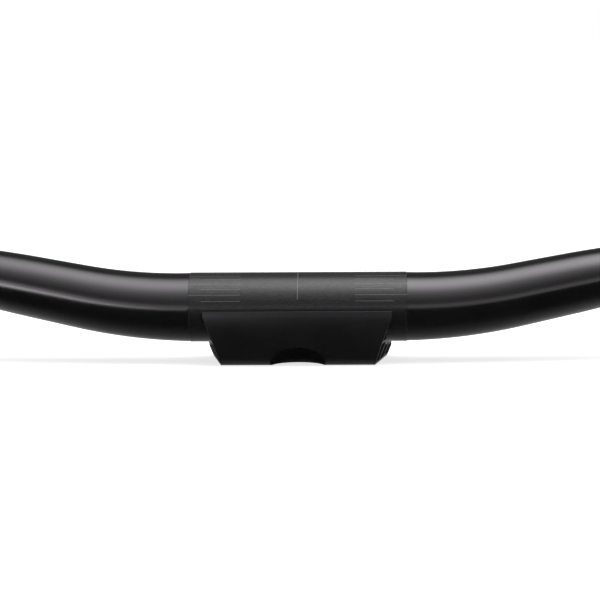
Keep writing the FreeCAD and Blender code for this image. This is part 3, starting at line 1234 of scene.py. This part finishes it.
@dataclass
class Room:
    """The dim room that glossy pieces reflect, with a pale horizon and a pale wall high in front.

    Places in it are shares of its radius. The horizon is dimmer at its foot straight ahead and brighter
    at the left.
    """

    radius: float = 5.0
    segments: int = 64
    rings: int = 32
    dark: float = 0.10
    horizon: Fade = Fade(0.03, 0.3, 0.72, 0.0)
    foot_aside: Fade = Fade(0.08, 0.35, 0.25, 1.0)
    foot_height: float = 0.08
    left_rise: Fade = Fade(-0.38, -0.05, 1.0, 0.0)
    left_fall: Fade = Fade(-0.532, -0.399, 0.2, 1.0)
    left_power: float = 3.0
    left_gain: float = 1.6
    front: Fade = Fade(-0.15, 0.05, 1.0, 0.0)
    front_levels: tuple[Place, ...] = (
        (0.0, 0.0), (0.34, 0.11), (0.49, 0.18), (0.57, 0.33), (0.68, 0.5),
        (0.78, 0.86), (0.84, 0.82), (0.91, 0.5), (0.96, 0.2), (1.0, 0.0),
    )

    def build(self) -> None:
        """Makes the room and its glow."""
        deselect_all()
        bpy.ops.mesh.primitive_uv_sphere_add(
            segments=self.segments, ring_count=self.rings, radius=self.radius
        )
        room = settle("studio_room")
        nodes, glow, _ = stage_nodes(room)
        across, back, up = (nodes.math("DIVIDE", part, self.radius) for part in nodes.place())
        foot = nodes.fade(nodes.math("ABSOLUTE", across), self.foot_aside)
        footed = nodes.fade(up, Fade(0.0, self.foot_height, foot, 1.0))
        pale = nodes.math("MULTIPLY", self.leftwards(nodes, across), footed)
        horizon = nodes.math("MULTIPLY", nodes.fade(up, self.horizon), pale)
        wall = nodes.ramp(up, [(height, grey(level)) for height, level in self.front_levels])
        front = nodes.math("MULTIPLY", wall, nodes.fade(back, self.front))
        level = nodes.math("ADD", nodes.math("ADD", horizon, front), self.dark)
        nodes.feed(glow.inputs["Strength"], level)
        reflect_only(room)

    def leftwards(self, nodes: Nodes, across: bpy.types.NodeSocket) -> bpy.types.NodeSocket:
        """A factor that grows towards the left, slowly at first, and falls again further out.

        Args:
            nodes: The material's nodes.
            across: The place from left to right.

        Returns:
            The factor.
        """
        rise = nodes.math("POWER", nodes.fade(across, self.left_rise), self.left_power)
        share = nodes.math("MULTIPLY", rise, nodes.fade(across, self.left_fall))
        return nodes.math("MULTIPLY_ADD", share, self.left_gain, 1.0)


@dataclass
class TableCard:
    """A card on the floor for reflections, its glow a painted reflection of the floor.

    It is dark with painted shadow under the part, and paler behind, far ahead and left.
    """

    lift: float = 0.2 * MM
    size: float = 6.0
    # painted shadow: dark under the bar where it shades the floor, paler further behind
    behind: Fade = Fade(-0.03, 0.025, 0.015, 0.5)
    ahead: Fade = Fade(-1.2, -0.6, 0.55, 0.0)
    ahead_aside: Fade = Fade(0.1, 0.4, 0.0, 1.0)
    left: Fade = Fade(-0.3, -0.15, 4.2, 0.0)
    left_ahead: Fade = Fade(-0.31, -0.15, 1.0, 0.0)
    # painted shade: the floor under the cradle's footprint stays dark in reflections
    painted_shadow_aside: Fade = Fade(0.036, 0.042, 1.0, 0.0)
    painted_shadow_apart: Fade = Fade(0.024, 0.03, 1.0, 0.0)
    # painted highlight: a bright line along the cradle's front foot, with painted shade in the scoop
    # and just in front of the foot
    painted_contact_aside: Fade = Fade(0.0125, 0.0145, 0.03, 0.6)
    painted_contact_back: Fade = Fade(-0.0195, -0.0155, 0.05, 1.0)

    def build(self) -> None:
        """Makes the card, with the cradle's dark contact where it stands painted as shade, and a
        painted highlight along the cradle's front foot.
        """
        deselect_all()
        bpy.ops.mesh.primitive_plane_add(size=self.size, location=(0.0, 0.0, BASE + self.lift))
        card = settle("painted_reflection_card")
        nodes, glow, _ = stage_nodes(card)
        across, back, _ = nodes.place()
        aside, apart = nodes.math("ABSOLUTE", across), nodes.math("ABSOLUTE", back)
        ahead = nodes.patch((back, self.ahead), (aside, self.ahead_aside))
        left = nodes.patch((across, self.left), (back, self.left_ahead))
        # painted shade under the cradle, where its own shadow falls on the floor
        under = nodes.patch((aside, self.painted_shadow_aside), (apart, self.painted_shadow_apart))
        # painted highlight along the cradle's front foot, painted shade in its scoop
        contact = nodes.patch((aside, self.painted_contact_aside), (back, self.painted_contact_back))
        # the floor's painted reflection, with the bar's painted shadow close behind the part
        table = nodes.math("ADD", nodes.math("ADD", ahead, left), nodes.fade(back, self.behind))
        mix = nodes.add("ShaderNodeMix", data_type="FLOAT")
        for key, term in (("Factor", under), ("A", table), ("B", contact)):
            nodes.feed(mix.inputs[key], term)
        nodes.feed(glow.inputs["Strength"], mix.outputs["Result"])
        reflect_only(card)


@dataclass
class Softbox:
    """The long softbox overhead, brightest along its middle and towards one end."""

    height: float = 1.0
    length: float = 1.7
    depth: float = 1.5
    middle: float = -0.07
    level: float = 3.0
    swell_power: float = 2.0
    dim_end: float = 0.32
    end_gain: float = 1.5

    def build(self) -> None:
        """Makes the lamp and its glow."""
        deselect_all()
        bpy.ops.object.light_add(type="AREA", location=(0.0, self.middle, self.height))
        lamp = bpy.context.object
        lamp.name = "overhead_softbox"
        lamp.data.shape = "RECTANGLE"
        lamp.data.size = self.length
        lamp.data.size_y = self.depth
        lamp.data.energy = self.level * math.pi * self.length * self.depth
        lamp.data.use_nodes = True
        nodes = Nodes(lamp.data.node_tree)
        parts = nodes.add("ShaderNodeSeparateXYZ")
        nodes.feed(parts.inputs[0], nodes.add("ShaderNodeNewGeometry").outputs["Parametric"])
        swell = nodes.math("SINE", nodes.math("MULTIPLY", parts.outputs["Y"], math.pi))
        crown = nodes.math("POWER", swell, self.swell_power)
        lean = nodes.math("MULTIPLY_ADD", parts.outputs["X"], self.end_gain, self.dim_end)
        glow = nodes.add("ShaderNodeEmission")
        nodes.feed(glow.inputs["Strength"], nodes.math("MULTIPLY", crown, lean))
        nodes.feed(nodes.add("ShaderNodeOutputLight").inputs["Surface"], glow.outputs["Emission"])


@dataclass
class Surround:
    """An even fill light, white where the camera sees past the floor."""

    fill: float = 0.2

    def build(self) -> None:
        """Makes the world."""
        world = bpy.data.worlds.new("white_surround")
        bpy.context.scene.world = world
        world.use_nodes = True
        nodes = Nodes(world.node_tree)
        sky = nodes.add("ShaderNodeBackground", inputs={"Color": grey(1.0)})
        level = nodes.fade(background_rays(nodes), Fade(0.0, 1.0, self.fill, 1.0))
        nodes.feed(sky.inputs["Strength"], level)
        nodes.feed(nodes.add("ShaderNodeOutputWorld").inputs["Surface"], sky.outputs["Background"])


@dataclass(frozen=True)
class PhotoView:
    """Where the picture is taken from, with angles in degrees and the clamp zone's middle in pixels."""

    azimuth: float = 2.0
    elevation: float = 6.9
    roll: float = 0.47
    distance: float = 1.1
    pixels_per_metre: float = 1983.0
    width: int = 600
    height: int = 601
    clamp_column: float = 298.5
    clamp_row: float = 306.6

    def build(self) -> None:
        """Makes the camera and sets it as the scene's own."""
        turn, lift = math.radians(self.azimuth), math.radians(self.elevation)
        level = math.cos(lift)
        back = Vector((math.sin(turn) * level, -math.cos(turn) * level, math.sin(lift)))
        aim = (-back).to_track_quat("-Z", "Y")
        right, up = aim @ RIGHT, aim @ Vector((0.0, 1.0, 0.0))
        target = right * ((self.width / 2 - self.clamp_column) / self.pixels_per_metre)
        target += up * ((self.clamp_row - self.height / 2) / self.pixels_per_metre)
        deselect_all()
        bpy.ops.object.camera_add(location=target + back * self.distance)
        camera = bpy.context.object
        camera.name = "photo_camera"
        camera.rotation_mode = "QUATERNION"
        roll = Matrix.Rotation(-math.radians(self.roll), 3, "Z").to_quaternion()
        camera.rotation_quaternion = aim @ roll
        focal = self.pixels_per_metre * self.distance
        camera.data.lens = focal * camera.data.sensor_width / max(self.width, self.height)
        bpy.context.scene.camera = camera


def hand_over(piece: bpy.types.Object) -> None:
    """Lets a finished piece ride on the part's body, and logs how many faces it has.

    Args:
        piece: The object.
    """
    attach(piece, "root")
    log.info("%s: %d faces", piece.name, len(piece.data.polygons))


def main() -> None:
    """Builds the pieces, dresses them and sets up the studio."""
    logging.basicConfig(level=logging.INFO, format="%(name)s: %(message)s")
    handlebar = Handlebar()
    bar = handlebar.build()
    handlebar.dress(bar)
    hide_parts("handlebar")
    hand_over(bar)

    graduation = Graduation()
    marking = graduation.build()
    graduation.dress(marking)
    hand_over(marking)

    holder = Cradle()
    cradle = holder.build()
    holder.dress(cradle)
    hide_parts("cradle")
    hand_over(cradle)

    for stage in (Floor(), Room(), TableCard(), Softbox(), Surround(), PhotoView()):
        stage.build()
    bpy.context.scene.view_settings.view_transform = "Standard"


if __name__ == "__main__":
    main()
